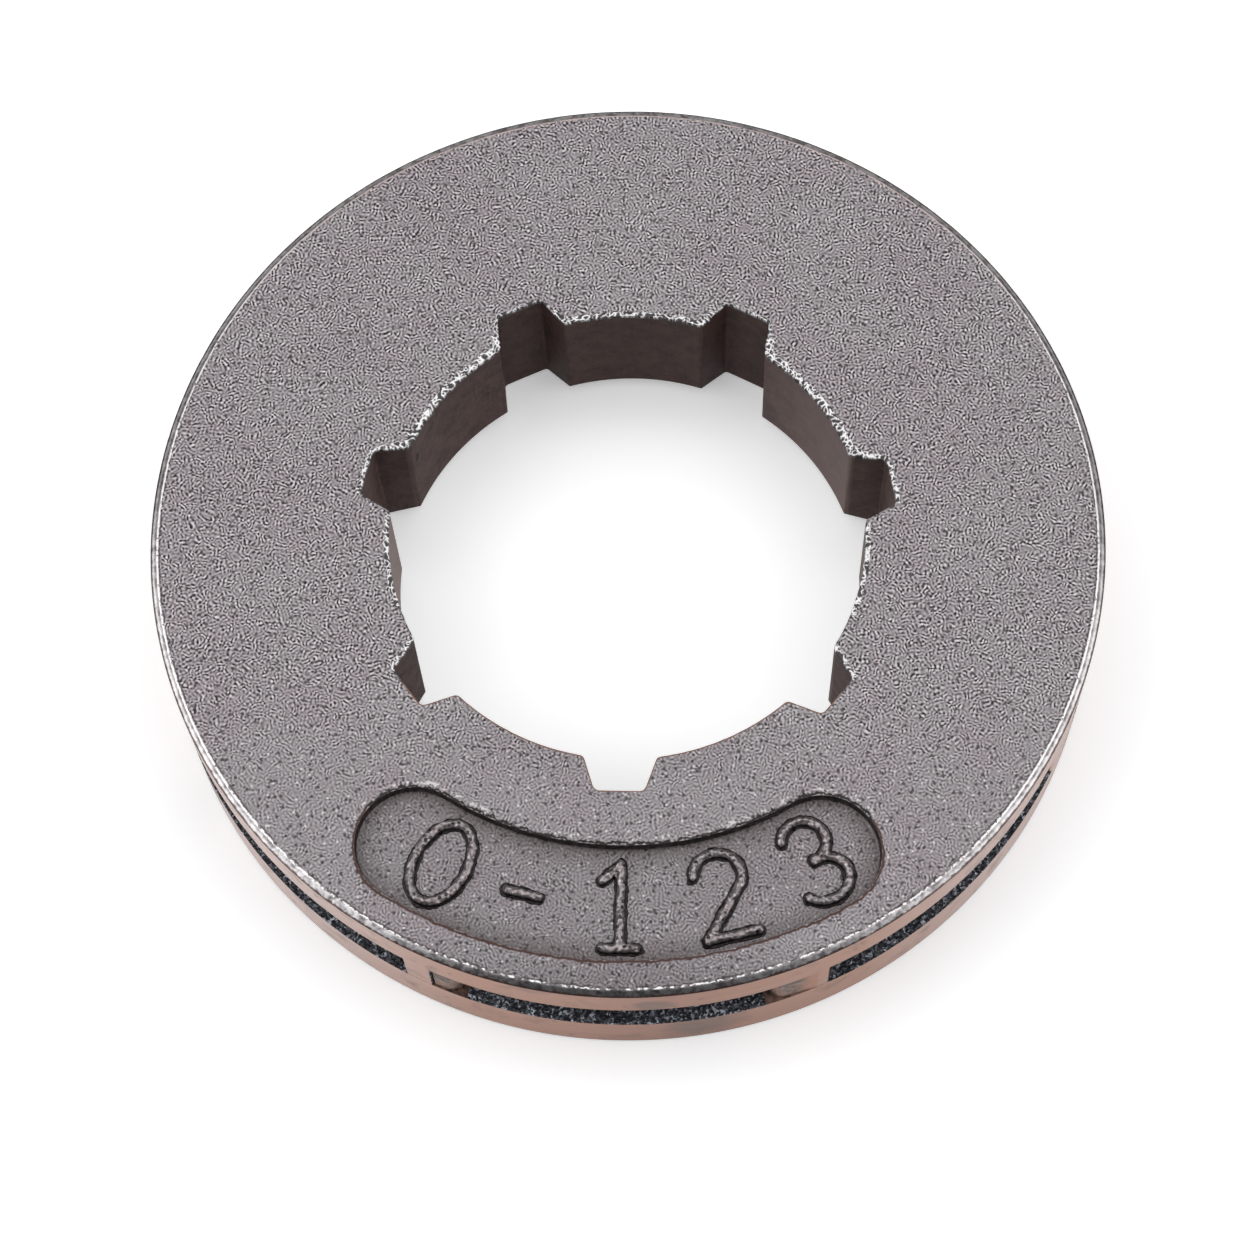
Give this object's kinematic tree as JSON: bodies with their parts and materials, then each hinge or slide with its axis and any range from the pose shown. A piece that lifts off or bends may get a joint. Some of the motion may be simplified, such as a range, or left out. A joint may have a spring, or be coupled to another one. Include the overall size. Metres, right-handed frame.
{
  "type": "chainsaw rim sprocket",
  "caption": "Cast steel rim sprocket for a chainsaw clutch drum, with a splined bore, tooth webs between its rails and a marking recess.",
  "frame": {"origin": "on the bore axis, at the foot", "axes": "+Z along the bore axis, from the foot to the marked face; -Y towards the marking recess and the first spline slot"},
  "size_m": [0.044, 0.044, 0.0081],
  "materials": {
    "cast_steel": "blasted, as cast"
  },
  "bodies": {
    "root": {"rim_sprocket": "cast_steel"}
  },
  "joints": []
}
